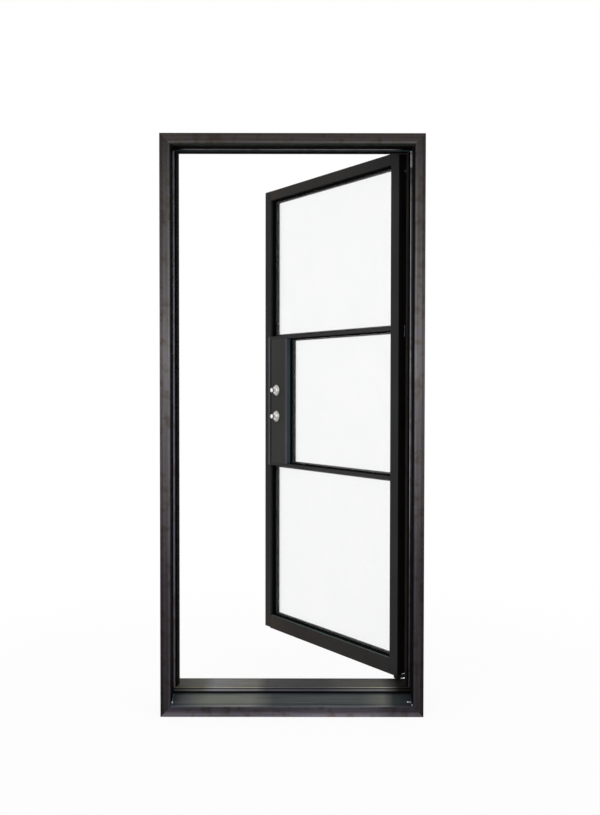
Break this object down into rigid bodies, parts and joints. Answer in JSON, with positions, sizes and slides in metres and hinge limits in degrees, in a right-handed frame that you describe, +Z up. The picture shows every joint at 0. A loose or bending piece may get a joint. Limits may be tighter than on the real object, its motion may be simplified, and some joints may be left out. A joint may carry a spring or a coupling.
{
  "type": "glazed door with frame",
  "caption": "Hinged glazed steel door in a welded frame, with stacked glass lights, a lock box with deadbolt and latch knobs, barrel hinges, seals and a raised threshold.",
  "frame": {"origin": "middle of the sill's underside", "axes": "+X to the right seen from the front, +Y to the back, the side the leaf opens to, +Z up"},
  "size_m": [0.952, 0.9225, 2.1],
  "materials": {
    "frame_steel": "dark brushed steel, satin lacquer",
    "sill_steel": "grey steel, worn along its length",
    "leaf_steel": "charcoal, smooth satin",
    "satin_glass": "pale, etched to a satin surface",
    "seal_rubber": "matt black",
    "satin_hardware": "satin, warm light grey",
    "bright_steel": "bright"
  },
  "bodies": {
    "frame": {"left_jamb": "frame_steel", "right_jamb": "frame_steel", "head": "frame_steel", "sill": "frame_steel", "left_stop": "frame_steel", "right_stop": "frame_steel", "head_stop": "frame_steel", "left_seal": "seal_rubber", "right_seal": "seal_rubber", "head_seal": "seal_rubber", "sill_tread": "sill_steel", "threshold": "sill_steel", "deadbolt_strike": "bright_steel", "latch_strike": "bright_steel", "lower_frame_barrel": "frame_steel", "middle_frame_barrel": "frame_steel", "upper_frame_barrel": "frame_steel", "hinge_pins": "bright_steel", "hinge_washers": "bright_steel"},
    "leaf": {"lock_stile": "leaf_steel", "hinge_stile": "leaf_steel", "top_rail": "leaf_steel", "bottom_rail": "leaf_steel", "upper_bar": "leaf_steel", "lower_bar": "leaf_steel", "lock_mullion": "leaf_steel", "lock_box": "leaf_steel", "upper_glazing_stop": "leaf_steel", "middle_glazing_stop": "leaf_steel", "lower_glazing_stop": "leaf_steel", "upper_glass": "satin_glass", "middle_glass": "satin_glass", "lower_glass": "satin_glass", "upper_beads": "leaf_steel", "middle_beads": "leaf_steel", "lower_beads": "leaf_steel", "bottom_sweep": "seal_rubber", "lower_leaf_barrel": "leaf_steel", "middle_leaf_barrel": "leaf_steel", "upper_leaf_barrel": "leaf_steel", "deadbolt_case": "bright_steel", "latch_case": "bright_steel", "deadbolt_front_rose": "satin_hardware", "deadbolt_rear_rose": "satin_hardware", "latch_front_rose": "satin_hardware", "latch_rear_rose": "satin_hardware", "latch_spring": "bright_steel"},
    "deadbolt": {"deadbolt": "satin_hardware"},
    "deadbolt_knobs": {"deadbolt_spindle": "satin_hardware", "deadbolt_front_knob": "satin_hardware", "deadbolt_rear_knob": "satin_hardware"},
    "latch_bolt": {"latch_bolt": "satin_hardware"},
    "latch_knobs": {"latch_spindle": "satin_hardware", "latch_front_knob": "satin_hardware", "latch_rear_knob": "satin_hardware"}
  },
  "joints": [
    {"name": "door_swing", "type": "hinge", "parent": "frame", "child": "leaf", "pos_m": [0.462, 0.109, 1.088], "axis": [0, 0, -1], "range_deg": [-54.2, 115.8]},
    {"name": "deadbolt_turn", "type": "hinge", "parent": "leaf", "child": "deadbolt_knobs", "pos_m": [-0.05916, 0.74784, 1.18], "axis": [-0.8111, -0.585, 0], "range_deg": [0, 90]},
    {"name": "deadbolt_slide", "type": "slide", "parent": "leaf", "child": "deadbolt", "axis": [-0.585, 0.8111, 0], "range_m": [0, 0.016]},
    {"name": "latch_turn", "type": "hinge", "parent": "leaf", "child": "latch_knobs", "pos_m": [-0.05916, 0.74784, 1.063], "axis": [0.8111, 0.585, 0], "range_deg": [0, 60]},
    {"name": "latch_slide", "type": "slide", "parent": "leaf", "child": "latch_bolt", "axis": [0.585, -0.8111, 0], "range_m": [0, 0.012], "stiffness_N_per_m": 600, "deforming": ["latch_spring"]}
  ],
  "couplings": [
    {"joint": "deadbolt_turn", "follows": "deadbolt_slide", "rad_per_m": 98.17},
    {"joint": "latch_turn", "follows": "latch_slide", "rad_per_m": 87.26}
  ]
}
